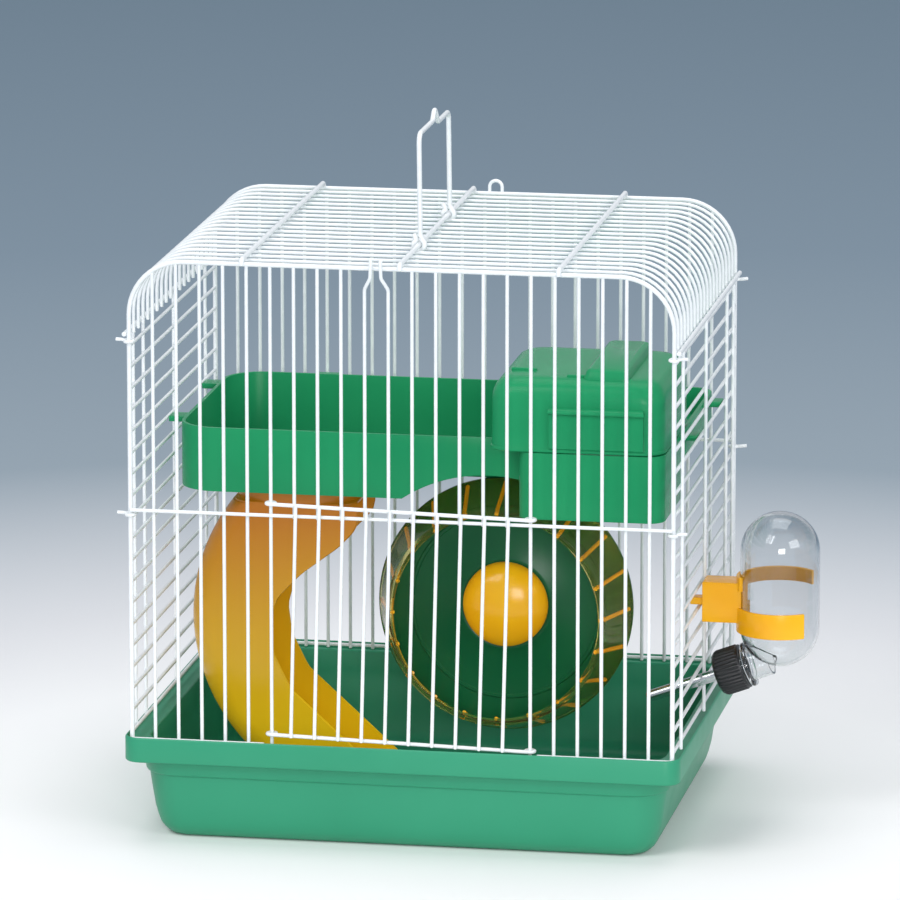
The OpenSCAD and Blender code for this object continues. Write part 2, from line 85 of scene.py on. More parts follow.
def color_ramp(m, value, stops):
    """Links a ramp of (position, color) stops from the value to the base color."""
    tree = m.node_tree
    node = tree.nodes.new("ShaderNodeValToRGB")
    elements = node.color_ramp.elements
    for element, (position, color) in zip(elements, (stops[0], stops[-1])):
        element.position = position
        element.color = (*color, 1)
    for position, color in stops[1:-1]:
        elements.new(position).color = (*color, 1)
    tree.links.new(value, node.inputs["Fac"])
    tree.links.new(node.outputs["Color"], shader(m).inputs["Base Color"])


def map_range(m, value, **limits):
    """A linear map of the value; limits are From_Min, From_Max, To_Min and To_Max."""
    node = m.node_tree.nodes.new("ShaderNodeMapRange")
    for socket, limit in limits.items():
        node.inputs[socket.replace("_", " ")].default_value = limit
    m.node_tree.links.new(value, node.inputs["Value"])
    return node.outputs["Result"]


def vary_color(m, a, b, scale):
    color_ramp(m, noise(m, scale), [(0.35, a), (0.65, b)])


def vary_rough(m, low, high, scale, **kw):
    result = map_range(m, noise(m, scale, **kw), To_Min=low, To_Max=high)
    m.node_tree.links.new(result, shader(m).inputs["Roughness"])


def bump(m, scale, distance, strength):
    """Fine relief; its distance is in metres."""
    node = m.node_tree.nodes.new("ShaderNodeBump")
    node.inputs["Strength"].default_value = strength
    node.inputs["Distance"].default_value = distance
    m.node_tree.links.new(noise(m, scale), node.inputs["Height"])
    m.node_tree.links.new(node.outputs["Normal"], shader(m).inputs["Normal"])


def painted_shade_by_height(m, low_color, high_color, z_low, z_high):
    """Paints shade by height: changes the colour from the bottom of a moulding to its top, with a slightly
    uneven front.
    """
    tree = m.node_tree
    place = tree.nodes.new("ShaderNodeTexCoord")
    axes = tree.nodes.new("ShaderNodeSeparateXYZ")
    uneven = tree.nodes.new("ShaderNodeMath")
    uneven.operation = "MULTIPLY_ADD"
    uneven.inputs[1].default_value = 0.03
    tree.links.new(place.outputs["Object"], axes.inputs[0])
    tree.links.new(noise(m, 9, detail=2.0), uneven.inputs[0])
    tree.links.new(axes.outputs["Z"], uneven.inputs[2])
    share = map_range(m, uneven.outputs[0], From_Min=z_low * MM, From_Max=z_high * MM)
    color_ramp(m, share, [(0, low_color), (1, high_color)])


wire_mat = material("coated_wire", (0.87, 0.893, 0.905), 0.32, Coat_Weight=0.25)
vary_color(wire_mat, (0.84, 0.865, 0.88), (0.9, 0.92, 0.93), 160)
bump(wire_mat, 900, 0.00006, 0.5)

tray_mat = material("tray_plastic", (0.028, 0.3, 0.16), 0.38, IOR=1.5, Specular_IOR_Level=0.35)
vary_color(tray_mat, (0.026, 0.278, 0.15), (0.031, 0.3, 0.164), 9)
vary_rough(tray_mat, 0.32, 0.46, 60)
bump(tray_mat, 1500, 0.00005, 0.35)

green_mat = material("green_plastic", (0.018, 0.3, 0.118), 0.26, IOR=1.45,
                     Transmission_Weight=0.06, Specular_IOR_Level=0.12)
vary_color(green_mat, (0.015, 0.285, 0.112), (0.022, 0.325, 0.13), 12)
vary_rough(green_mat, 0.18, 0.28, 80)
bump(green_mat, 900, 0.00004, 0.3)

dark_mat = material("dark_green_plastic", (0.007, 0.11, 0.043), 0.28, IOR=1.45, Specular_IOR_Level=0.3)
vary_color(dark_mat, (0.006, 0.105, 0.041), (0.009, 0.125, 0.048), 14)
bump(dark_mat, 700, 0.00004, 0.3)

# painted glow: a weak emission stands in for light shining through the amber plastic
amber_mat = material("amber_plastic", (0.95, 0.5, 0.012), 0.2, IOR=1.45, Transmission_Weight=0.2,
                     Emission_Color=(1.0, 0.5, 0.0, 1), Emission_Strength=0.1)
vary_color(amber_mat, (0.92, 0.44, 0.01), (0.98, 0.58, 0.014), 16)
bump(amber_mat, 500, 0.00004, 0.3)

# painted glow: a weak emission stands in for light shining through the slide's amber plastic
slide_mat = material("amber_slide_plastic", (0.9, 0.48, 0.012), 0.2, IOR=1.45,
                     Transmission_Weight=0.2, Emission_Color=(1.0, 0.55, 0.0, 1), Emission_Strength=0.07)
# painted shade: the slide's colour runs from yellow at the bottom to darker orange at the top, where the loft
# shades it
painted_shade_by_height(slide_mat, (0.86, 0.6, 0.012), (0.46, 0.135, 0.014), 50, 190)
bump(slide_mat, 500, 0.00004, 0.3)

drum_mat = material("amber_tinted_plastic", (0.97, 0.86, 0.35), 0.06, IOR=1.12, Transmission_Weight=0.97)
vary_rough(drum_mat, 0.04, 0.1, 60)

steel_mat = material("bright_steel", (0.66, 0.67, 0.69), 0.22, Metallic=1.0)
vary_rough(steel_mat, 0.16, 0.32, 300, stretch=(0.2, 1, 1))
bump(steel_mat, 1200, 0.00003, 0.4)

clear_mat = material("clear_plastic", (0.9, 0.915, 0.925), 0.03, IOR=1.5, Transmission_Weight=1.0)
vary_rough(clear_mat, 0.015, 0.05, 30)

black_mat = material("black_plastic", (0.012, 0.012, 0.014), 0.35)
vary_rough(black_mat, 0.28, 0.45, 200)
bump(black_mat, 1200, 0.00005, 0.4)

rubber_mat = material("black_rubber", (0.03, 0.03, 0.032), 0.7)
bump(rubber_mat, 800, 0.00006, 0.5)


# -------------------------------------------------------------------- objects
def link_object(name, data):
    ob = bpy.data.objects.new(name, data)
    bpy.context.scene.collection.objects.link(ob)
    return ob


def finish_mesh(me, mat, sharp):
    """Gives a mesh its material and smooth shading, with edges sharper than the angle left hard."""
    me.materials.clear()
    me.materials.append(mat)
    for face in me.polygons:
        face.use_smooth = True
    me.set_sharp_from_angle(angle=math.radians(sharp))


def place_mesh(me, name, mat, body, replaces=(), sharp=38.0):
    """A new visible piece that rides on a rigid body and may stand in for CAD nodes."""
    ob = link_object(name, me)
    finish_mesh(me, mat, sharp)
    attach(ob, body)
    if replaces:
        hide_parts(*replaces)


def keep(node, mat, bevel=0.0):
    """A CAD node that stays, with its finish and softened edges."""
    ob = NODES[node]
    ob.data.materials.clear()
    ob.data.materials.append(mat)
    for face in ob.data.polygons:
        face.use_smooth = True
        face.material_index = 0
    weld = ob.modifiers.new("weld", "WELD")
    weld.merge_threshold = 2e-6
    if bevel:
        edges = ob.modifiers.new("edges", "BEVEL")
        edges.width = bevel * MM
        edges.segments = 3
        edges.limit_method = "ANGLE"
        edges.angle_limit = math.radians(40)
        edges.use_clamp_overlap = True
        edges.harden_normals = False


def combine(ob, others, operation):
    """The mesh of ob after a boolean with the others; uses all of them up."""
    for other in others:
        m = ob.modifiers.new("boolean", "BOOLEAN")
        m.operation = operation
        m.solver = "EXACT"
        m.object = other
    bpy.context.view_layer.update()
    depsgraph = bpy.context.evaluated_depsgraph_get()
    me = bpy.data.meshes.new_from_object(ob.evaluated_get(depsgraph))
    for used in (ob, *others):
        bpy.data.objects.remove(used)
    return me


# --------------------------------------------------------------------- shapes
class Shape:
    """Collects points and faces in millimetres."""

    def __init__(self):
        self.points = []
        self.faces = []

    def cap(self, start, count, flip=False):
        """One flat face over a ring of points."""
        order = range(start, start + count)
        self.faces.append(tuple(reversed(order) if flip else order))

    def skin(self, rings, capped=True, closed=False):
        """Joins rings of equal length; closed joins the last ring to the first as well."""
        base = len(self.points)
        n = len(rings[0])
        total = len(rings) * n
        for ring in rings:
            self.points.extend(tuple(p) for p in ring)
        for i in range(len(rings) if closed else len(rings) - 1):
            for j in range(n):
                near, far = i * n, (i + 1) * n % total
                after = (j + 1) % n
                self.faces.append((base + near + j, base + near + after, base + far + after, base + far + j))
        if capped and not closed:
            self.cap(base, n, flip=True)
            self.cap(base + total - n, n)

    def tube(self, path, r, sides=12):
        """A round wire along a path, with slightly chamfered ends."""
        pts = [Vector(p) for p in path]
        chamfer = min(0.3 * r, 0.3)
        forth = (pts[1] - pts[0]).normalized()
        back = (pts[-2] - pts[-1]).normalized()
        pts = [pts[0], pts[0] + forth * chamfer] + pts[1:-1] + [pts[-1] + back * chamfer, pts[-1]]
        last = len(pts) - 1
        tangents = [(pts[min(i + 1, last)] - pts[max(i - 1, 0)]).normalized() for i in range(last + 1)]
        start = tangents[0]
        across = start.cross(Vector((0, 0, 1)) if abs(start.z) < 0.9 else Vector((0, 1, 0))).normalized()
        rings = []
        for i, tangent in enumerate(tangents):
            if i:
                across = tangents[i - 1].rotation_difference(tangent) @ across
                across = (across - tangent * across.dot(tangent)).normalized()
            upright = tangent.cross(across)
            size = 0.7 * r if i in (0, last) else r
            rings.append([pts[i] + (across * cosd(360 * j / sides) + upright * sind(360 * j / sides)) * size
                          for j in range(sides)])
        self.skin(rings)

    def lathe(self, profile, place, segments):
        """Turns a closed profile of (radius, height) about the Z axis of the matrix place."""
        axis_gap = 0.001
        self.skin([[place @ Vector((max(r, axis_gap) * cosd(360 * k / segments),
                                    max(r, axis_gap) * sind(360 * k / segments), h)) for r, h in profile]
                   for k in range(segments)], closed=True)

    def mesh(self, name):
        """The shape in metres, with doubled points joined and its faces turned outwards."""
        me = bpy.data.meshes.new(name)
        me.from_pydata([(x * MM, y * MM, z * MM) for x, y, z in self.points], [], self.faces)
        bm = bmesh.new()
        bm.from_mesh(me)
        bmesh.ops.remove_doubles(bm, verts=bm.verts, dist=1e-6)
        bmesh.ops.dissolve_degenerate(bm, edges=bm.edges, dist=1e-7)
        bmesh.ops.recalc_face_normals(bm, faces=bm.faces)
        bm.to_mesh(me)
        bm.free()
        return me

    def build(self, name, mat, body, replaces=(), sharp=38.0):
        place_mesh(self.mesh(name), name, mat, body, replaces, sharp)


def skinned(rings):
    s = Shape()
    s.skin(rings)
    return s


def turned(profile, place, segments):
    s = Shape()
    s.lathe(profile, place, segments)
    return s


def wires(name, body, replaces, paths, r, sides=12):
    """One piece made of coated round wires."""
    s = Shape()
    for path in paths:
        s.tube(path, r, sides)
    s.build(name, wire_mat, body, replaces)


def rounded(points, r, steps):
    """Rounds the inner corners of an open path with bends of radius r."""
    pts = [Vector(p) for p in points]
    out = [pts[0]]
    for before, corner, after in zip(pts, pts[1:], pts[2:]):
        a = (before - corner).normalized()
        b = (after - corner).normalized()
        angle = a.angle(b)
        if angle > math.radians(179):
            out.append(corner)
            continue
        reach = min(r / math.tan(angle / 2), (before - corner).length * 0.49, (after - corner).length * 0.49)
        center = corner + (a + b).normalized() * (reach * math.tan(angle / 2) / math.sin(angle / 2))
        u = corner + a * reach - center
        v = corner + b * reach - center
        sweep = u.angle(v)
        for k in range(steps + 1):
            t = k / steps
            out.append(center + (u * math.sin((1 - t) * sweep) + v * math.sin(t * sweep)) / math.sin(sweep))
    out.append(pts[-1])
    return out


def rounded_rect(hx, hy, r, z, cx=0.0, cy=0.0, steps=8):
    """Ring of a rounded rectangle with half sizes hx and hy."""
    out = []
    for quarter in range(4):
        sx = 1 if quarter in (0, 3) else -1
        sy = 1 if quarter < 2 else -1
        for k in range(steps + 1):
            a = 90 * quarter + 90 * k / steps
            out.append((cx + sx * (hx - r) + r * cosd(a), cy + sy * (hy - r) + r * sind(a), z))
    return out


def rect(x, y, hx, hy, z):
    return [(x - hx, y - hy, z), (x + hx, y - hy, z), (x + hx, y + hy, z), (x - hx, y + hy, z)]


# -------------------------------------------------------------- cage dimensions
HALF_W, HALF_D = 150.0, 115.0      # to the centres of the frame wires
GAPS = 23                          # between the front panel's bars
ROOF, CORNER_R = 325.0, 30.0       # height of the top wires, and the radius where they bend down
FOOT, MIDDLE, EAVE = 56.3, 186.5, 284.0
RAIL_Y = 117.05
RIB_Z = ROOF + 2.75
BAR_R, FRAME_R, RIB_R = 1.0, 1.3, 1.4
LATCH_BARS = (10, 11)
DOOR_BARS = range(7, 17)
GUIDE = 17                         # number of the bar that the door's right end slides on


def bar_x(i):
    """Place of bar number i, counted from the left frame wire."""
    return -HALF_W + 2 * HALF_W / GAPS * i


def frame_z(x):
    """Height of the panels' bent top wire."""
    past = abs(x) - HALF_W + CORNER_R
    return ROOF if past <= 0 else ROOF - CORNER_R + math.sqrt(max(0.0, CORNER_R * CORNER_R - past * past))


def arch(y, foot, steps):
    """A wire up one side, over the roof and down the other side."""
    def corner(side, start):
        return [(side * (HALF_W - CORNER_R) + CORNER_R * cosd(start - 90 * k / steps), y,
                 ROOF - CORNER_R + CORNER_R * sind(start - 90 * k / steps)) for k in range(steps + 1)]

    return [(-HALF_W, y, foot)] + corner(-1, 180) + corner(1, 90) + [(HALF_W, y, foot)]


# ----------------------------------------------------- front and rear panels
for tag, y in (("front", -HALF_D), ("rear", HALF_D)):
    wires(tag + "_frame_wire", "cage", [tag + "_frame"], [arch(y, FOOT, 12)], FRAME_R, 16)


def panel_bar(i, y, foot):
    """Bar number i of a panel, from its foot up to the bent top wire."""
    return [(bar_x(i), y, foot), (bar_x(i), y, frame_z(bar_x(i)) - 0.6)]


def rail(x0, x1, y, z):
    return [(x0, y, z), (x1, y, z)]


under_rail = MIDDLE - 2
wires("front_bar_wires", "cage", ["front_bars"],
      [panel_bar(i, -HALF_D, under_rail if i in DOOR_BARS else FOOT)
       for i in range(1, GAPS) if i not in LATCH_BARS], BAR_R)
wires("rear_bar_wires", "cage", ["rear_bars"], [panel_bar(i, HALF_D, FOOT) for i in range(1, GAPS)], BAR_R)

low = FOOT + 1.4
beside_door = bar_x(GUIDE) + 4
wires("front_rail_wires", "cage", ["front_rails"],
      [rail(-HALF_W, HALF_W, -RAIL_Y, MIDDLE), rail(-HALF_W, -beside_door, -RAIL_Y, low),
       rail(beside_door, HALF_W, -RAIL_Y, low)], BAR_R)
wires("rear_rail_wires", "cage", ["rear_rails"],
      [rail(-HALF_W, HALF_W, RAIL_Y, z) for z in (MIDDLE, low)], BAR_R)

# the two middle bars end in prongs that lean towards each other over the roof's front wire
middle = (bar_x(LATCH_BARS[0]) + bar_x(LATCH_BARS[1])) / 2
prongs = []
for side, i in zip((-1, 1), LATCH_BARS):
    prongs.append(rounded([(bar_x(i), -HALF_D, under_rail), (bar_x(i), -HALF_D, ROOF - 11.5),
                           (middle + side * 3.0, -HALF_D - 2.45, ROOF - 5),
                           (middle + side * 2.6, -HALF_D - 2.45, ROOF + 4),
                           (middle + side * 3.2, -HALF_D - 1.9, ROOF + 5.6)], 4, 5))
wires("front_latch_wires", "cage", ["front_latch"], prongs, BAR_R)

loop_x, loop_y, loop_z, loop_r = 12.5, HALF_D + 2.3, ROOF + 3.5, 3.6
hanger = [(loop_x + loop_r * cosd(a), loop_y, loop_z + loop_r * sind(a)) for a in range(180, -1, -15)]
wires("rear_hanging_loop", "cage", ["rear_latch_loop"],
      [[(loop_x - loop_r, loop_y, loop_z - 4.2)] + hanger + [(loop_x + loop_r, loop_y, loop_z - 4.2)]], BAR_R)

# ------------------------------------------------------- side panels and roof
SIDE_WIRES, SIDE_PITCH, LOWEST_WIRE = 19, 12, 61.5
for tag, side in (("left", -1), ("right", 1)):
    wires(tag + "_mesh_wires", "cage", [tag + "_side_wires"],
          [[(side * HALF_W, -HALF_D + 0.4, LOWEST_WIRE + SIDE_PITCH * k),
            (side * HALF_W, HALF_D - 0.4, LOWEST_WIRE + SIDE_PITCH * k)] for k in range(SIDE_WIRES)], BAR_R)
    wires(tag + "_mesh_uprights", "cage", [tag + "_side_posts"],
          [[(side * (HALF_W + 2), side * y, 59.8), (side * (HALF_W + 2), side * y, EAVE - 0.5)]
           for y in (-96, -10, 70, 96)], BAR_R)

ROOF_GAPS = 19
wires("roof_bent_wires", "cage", ["roof_wires", "roof_corner_wires"],
      [arch(-HALF_D + 2 * HALF_D * k / ROOF_GAPS, EAVE - 1.5, 10) for k in range(1, ROOF_GAPS)], BAR_R, 10)

ribs = []
for x in (-87, 0, 87):
    half = [(x, HALF_D + 2.3, ROOF - 0.6), (x, HALF_D + 2.2, ROOF + 1.5), (x, HALF_D + 0.2, RIB_Z)]
    ribs.append(rounded([(px, -py, pz) for px, py, pz in half] + half[::-1], 2.2, 5))
wires("roof_rib_wires", "cage", ["roof_ribs"], ribs, RIB_R, 14)

eave_x, eave_y = HALF_W + 2.65, HALF_D + 1
wires("roof_eave_wires", "cage", ["roof_eaves"],
      [[(side * eave_x, -eave_y, EAVE), (side * eave_x, eave_y, EAVE)] for side in (-1, 1)], FRAME_R, 14)

# hooks that run round the corner posts and stand out sideways
HOOK_R, HOOK_STEPS = 2.35, 22
hooks = []
for sx in (-1, 1):
    for sy in (-1, 1):
        for z in (MIDDLE - 2.5, EAVE - 3.4):
            hook = [(sx * (HALF_W + 7.6), sy * (HALF_D - 0.4), z + 0.5),
                    (sx * (HALF_W + 4.4), sy * (HALF_D - 1.2), z + 0.2)]
            for k in range(HOOK_STEPS + 1):
                a = -20 - 318 * k / HOOK_STEPS
                hook.append((sx * (HALF_W + HOOK_R * cosd(a)), sy * (HALF_D + HOOK_R * sind(a)),
                             z - 0.5 * k / HOOK_STEPS))
            hooks.append(hook)
wires("corner_hook_wires", "cage", ["corner_clips"], hooks, 0.95, 10)

# -------------------------------------------------------------------- the door
LEAN = math.tan(math.radians(1.4))
DOOR_BOTTOM, DOOR_TOP = 61.7, MIDDLE + 4.6
EYE_R = 2.4


def door_eye(x, z, first, last):
    """A turn of the rail round its guide bar."""
    return [(x + EYE_R * cosd(a), -HALF_D + EYE_R * sind(a), z - x * LEAN)
            for a in range(first, last + 1, 15)]


# each rail leaves its left eye, crosses the door and runs into its right eye
wires("door_rail_wires", "door", ["door_rails"],
      [door_eye(-bar_x(GUIDE), z, -60, 270) + door_eye(bar_x(GUIDE), z, -90, 240)
       for z in (DOOR_BOTTOM, DOOR_TOP)], 1.08)

door_y = -HALF_D - EYE_R - 2.0
shift = (DOOR_TOP - DOOR_BOTTOM) * LEAN / 2
wires("door_bar_wires", "door", ["door_wires"],
      [[(bar_x(i) - shift, door_y, DOOR_BOTTOM - 0.6 - bar_x(i) * LEAN),
        (bar_x(i) + shift, door_y, DOOR_TOP + 1 - bar_x(i) * LEAN)] for i in DOOR_BARS], BAR_R)

# ---------------------------------------------------------------- carry handle
HANDLE_FRONT, HANDLE_REAR = -57.2, 34.5
HANDLE_TOP = ROOF + 64
HANDLE_EYE_R = 3.1


def handle_eye(y):
    """The wire's end runs down beside the rib, round under it and out in a short tail."""
    ring = [(HANDLE_EYE_R * sind(a), y, RIB_Z + HANDLE_EYE_R * cosd(a)) for a in range(40, 331, 15)]
    points = [(0.6, y, RIB_Z + 5.6)] + ring + [(-2.2, y, RIB_Z + 4.2), (-3.2, y, RIB_Z + 6.0)]
    return [Vector(p) for p in points]


bail = rounded([(0, HANDLE_FRONT, RIB_Z + 4.6), (0, HANDLE_FRONT, HANDLE_TOP), (0, -16.1, HANDLE_TOP),
                (0, -10.9, HANDLE_TOP + 5), (0, -7.9, HANDLE_TOP + 5), (0, 0.2, HANDLE_TOP - 3),
                (0, HANDLE_REAR, HANDLE_TOP - 3), (0, HANDLE_REAR, RIB_Z + 4.6)], 5.2, 7)
wires("carry_handle_wire", "handle", ["carry_handle", "handle_eyes"],
      [handle_eye(HANDLE_FRONT)[::-1] + bail[1:-1] + handle_eye(HANDLE_REAR)], RIB_R, 14)

# ------------------------------------------------------------------------ tray
# outside from the foot up to the rim, then down the inside: half width, half depth, corner radius, height
TRAY_PROFILE = [
    (100, 72, 8, 0.55), (122, 92, 8, 0.5), (124, 94, 9, 0.0), (131, 100.6, 11, 0.0),
    (133.4, 102.9, 12.2, 0.7), (135.4, 104.9, 13.8, 2.2), (137.2, 106.7, 15.2, 4.0),
    (138.7, 108.2, 16.2, 6.4), (140.2, 109.7, 17.2, 10.8), (141.5, 111, 18, 16), (143.2, 112.6, 19, 27),
    (144.5, 113.6, 19.6, 36.2), (145.8, 114.8, 20.6, 36.9), (146.3, 115.3, 21, 37.8),
    (147.2, 116.2, 21, 45), (147.3, 116.3, 21, 53.4), (152.1, 118.6, 7.4, 53.5),
    (152.3, 118.8, 7.2, 52.9), (152.3, 118.8, 7.2, 45.5), (152.6, 119.1, 7.4, 45.05),
    (153.9, 120.4, 8.6, 45.0), (154.4, 120.9, 9, 45.5), (154.5, 121, 9, 46.2), (154.5, 121, 9, 57.9),
    (154.3, 120.8, 8.9, 58.6), (153.9, 120.4, 8.6, 59.0), (153.5, 120.0, 8.3, 58.95),
    (153.3, 119.8, 8.2, 58.5), (153.3, 119.8, 8, 56.6), (153.0, 119.5, 8, 56.1),
    (152.5, 119.0, 8, 56.0), (144.7, 113.7, 19.2, 56.0), (143.9, 112.9, 18.8, 55.6),
    (143.5, 112.5, 18.4, 54.8), (143.5, 112.5, 18.2, 44), (142.9, 111.9, 18, 37.5),
    (142.2, 111.2, 17.6, 35.4), (140.6, 109.9, 16.8, 24), (139.4, 108.8, 16.2, 17),
    (137.9, 107.4, 15.4, 11), (136, 105.5, 14.2, 7.2), (133.6, 103, 12.6, 4.6), (130.4, 99.8, 11, 3.2),
    (126, 95.5, 9.6, 2.85), (100, 72, 8, 2.8)]
tray = skinned([rounded_rect(hx, hy, r, z, steps=10) for hx, hy, r, z in TRAY_PROFILE])
tray.build("tray_shell", tray_mat, "tray", ["base_tray"], sharp=50)

# ------------------------------------- green mouldings that stay as CAD made them
for node, bevel in (("loft", 0.7), ("loft_clips", 0.5), ("nest_base", 0.8), ("wheel_bracket", 0.6)):
    keep(node, green_mat, bevel)

# ------------------------------------------------------------------- nest roof
NEST_TOP = 262.0
NEST_FOOT = NEST_TOP - 40.2
NEST_X0, NEST_X1, NEST_Y0, NEST_Y1 = 44.0, 141.0, -93.0, 8.0
# how far inside the box, corner radius, height
NEST_OUTSIDE = [
    (0.6, 11.4, NEST_FOOT), (0.0, 12, NEST_FOOT + 0.6), (0.0, 12, NEST_FOOT + 1.6),
    (0.5, 12, NEST_FOOT + 2.2), (0.7, 12, NEST_FOOT + 12), (0.75, 12, NEST_TOP - 12),
    (1.2, 12.4, NEST_TOP - 8.5), (2.6, 12.6, NEST_TOP - 5.0), (4.8, 12.2, NEST_TOP - 2.4),
    (7.8, 11, NEST_TOP - 0.7), (11, 9.5, NEST_TOP - 0.1), (16, 8, NEST_TOP)]
NEST_INSIDE = [
    (18, 6, NEST_TOP - 2), (11.5, 7, NEST_TOP - 2.1), (8.4, 8.5, NEST_TOP - 2.7),
    (6.2, 9.5, NEST_TOP - 4.2), (4.4, 10, NEST_TOP - 6.6), (3.2, 10, NEST_TOP - 9.5),
    (2.75, 10, NEST_TOP - 12), (2.5, 10, NEST_FOOT + 0.6), (2.3, 10, NEST_FOOT)]


def nest_rings(profile):
    return [rounded_rect((NEST_X1 - NEST_X0) / 2 - inset, (NEST_Y1 - NEST_Y0) / 2 - inset, r, z,
                         (NEST_X0 + NEST_X1) / 2, (NEST_Y0 + NEST_Y1) / 2) for inset, r, z in profile]


def doorway(center, radius):
    """Outline of an arched opening in the nest's foot, as (along the wall, height)."""
    sill, spring = NEST_FOOT - 3, NEST_FOOT + 8
    bow = [(center - radius * cosd(a), spring + radius * sind(a)) for a in range(0, 181, 15)]
    return [(center - radius, sill)] + bow + [(center + radius, sill)]


nest = Shape()
nest.skin(nest_rings(NEST_OUTSIDE), capped=False)
points_outside = len(nest.points)
ring_size = points_outside // len(NEST_OUTSIDE)
nest.cap(points_outside - ring_size, ring_size)
nest.skin(nest_rings(NEST_INSIDE), capped=False)
nest.cap(points_outside, ring_size, flip=True)
foot_inside = len(nest.points) - ring_size
for j in range(ring_size):
    after = (j + 1) % ring_size
    nest.faces.append((foot_inside + j, foot_inside + after, after, j))
left_door = skinned([[(x, y, z) for y, z in doorway(-37.5, 12.5)] for x in (NEST_X0 - 4, NEST_X0 + 8)])
rear_door = skinned([[(x, y, z) for x, z in doorway(89, 14)] for y in (NEST_Y1 - 8, NEST_Y1 + 4)])
openings = [link_object("opening", door.mesh("opening")) for door in (left_door, rear_door)]
shell = combine(link_object("nest_shell", nest.mesh("nest_shell")), openings, "DIFFERENCE")
place_mesh(shell, "nest_roof_shell", green_mat, "nest_lid", ["nest_roof"], 40)

# half width, half depth, corner radius, height over the nest's top
ridge = [(13, 43, 4, -1.2), (12.9, 42.9, 4, 0.4), (12.2, 42.2, 4, 1.6), (11.6, 41.6, 3.6, 3.4),
         (10.8, 40.8, 3.2, 4.5), (9.4, 39.4, 2.6, 5)]
skinned([rounded_rect(hx, hy, r, NEST_TOP + z, 108, -42) for hx, hy, r, z in ridge]).build(
    "nest_roof_ridge", green_mat, "nest_lid")

# half width, distance behind the nest's front, height over its foot; a ledge runs along the panel's top
PANEL_X, PANEL_BACK = 104, 3
panel = [(26, 1.4, 2.4), (26, 0.2, 2.0), (26, -1.0, 2.8), (26, -1.2, 3.6), (26, -1.2, 21.4),
         (26.4, -2.9, 22.2), (26.5, -3.3, 22.9), (26.4, -3.1, 23.6), (26.2, -2.4, 24.3),
         (25.8, 0.2, 25.4), (25.6, 1.4, 25.6)]
skinned([[(PANEL_X + sx * hx, NEST_Y0 + y, NEST_FOOT + z)
          for sx, y in ((-1, front), (1, front), (1, PANEL_BACK), (-1, PANEL_BACK))]
         for hx, front, z in panel]).build("nest_roof_front_panel", green_mat, "nest_lid", sharp=30)

vents = Shape()
for x, y in ((60, -66), (93, -80)):
    vents.skin([rect(x, y, hx, hy, NEST_TOP + z)
                for hx, hy, z in ((7, 1.2, -1.5), (7, 1.2, 0.7), (6.6, 0.8, 1.2))])
vents.build("nest_roof_vents", green_mat, "nest_lid", sharp=30)

# ----------------------------------------------------------------------- slide
SLIDE_X, SLIDE_Y, SLIDE_Z = -26.0, -23.0, 111.0
SLIDE_R, SLIDE_HALF, SLIDE_WALL = 106.0, 27.0, 1.8
SLIDE_START, SLIDE_SWEEP, SLIDE_STEPS = 141.5, 133.4, 56
# upper edge of the side walls, from the mouth down to the exit
EDGE = rounded([(-36.6, 0, 177), (-36.6, 0, 165.5), (-47.5, 0, 154), (-68.5, 0, 138), (-82, 0, 124),
                (-86.2, 0, 108), (-84, 0, 91.5), (-74.5, 0, 72.2), (-17.2, 0, 20.4)], 14, 4)
LENGTHS = [0.0]
for before, after in zip(EDGE, EDGE[1:]):
    LENGTHS.append(LENGTHS[-1] + (after - before).length)


def edge_at(share):
    """Point of the walls' upper edge at a share of its length."""
    wanted = share * LENGTHS[-1]
    k = 1
    while k < len(EDGE) - 1 and LENGTHS[k] < wanted:
        k += 1
    return EDGE[k - 1].lerp(EDGE[k], (wanted - LENGTHS[k - 1]) / (LENGTHS[k] - LENGTHS[k - 1]))


def slide_ring(share):
    """Section of the channel, from a point of its outer curve towards the walls' upper edge."""
    a = SLIDE_START + SLIDE_SWEEP * share
    outer = Vector((SLIDE_X + SLIDE_R * cosd(a), 0, SLIDE_Z + SLIDE_R * sind(a)))
    inward = edge_at(share) - outer
    top = inward.length
    inward = inward / top

    def side(inset, sign):
        half = SLIDE_HALF - inset
        r = max(min(15.5 - inset, top - inset - 0.5), 0.6)
        span = max(top - inset - r, 0.0)
        wall = [(top - span * k / 3, sign * half) for k in range(4)]
        bend = [(inset + r - r * sind(a), sign * (half - r + r * cosd(a)))
                for a in (90 * k / 8 for k in range(1, 9))]
        return wall + bend

    def strip(inset):
        return side(inset, -1) + [(inset, w) for w in (-6, 0, 6)] + side(inset, 1)[::-1]

    rim = top + 0.7, SLIDE_HALF - SLIDE_WALL / 2
    section = strip(0) + [rim] + strip(SLIDE_WALL)[::-1] + [(rim[0], -rim[1])]
    return [(outer.x + inward.x * d, SLIDE_Y + w, outer.z + inward.z * d) for d, w in section]


skinned([slide_ring(k / SLIDE_STEPS) for k in range(SLIDE_STEPS + 1)]).build(
    "slide_channel", slide_mat, "cage", ["slide_chute"], sharp=50)
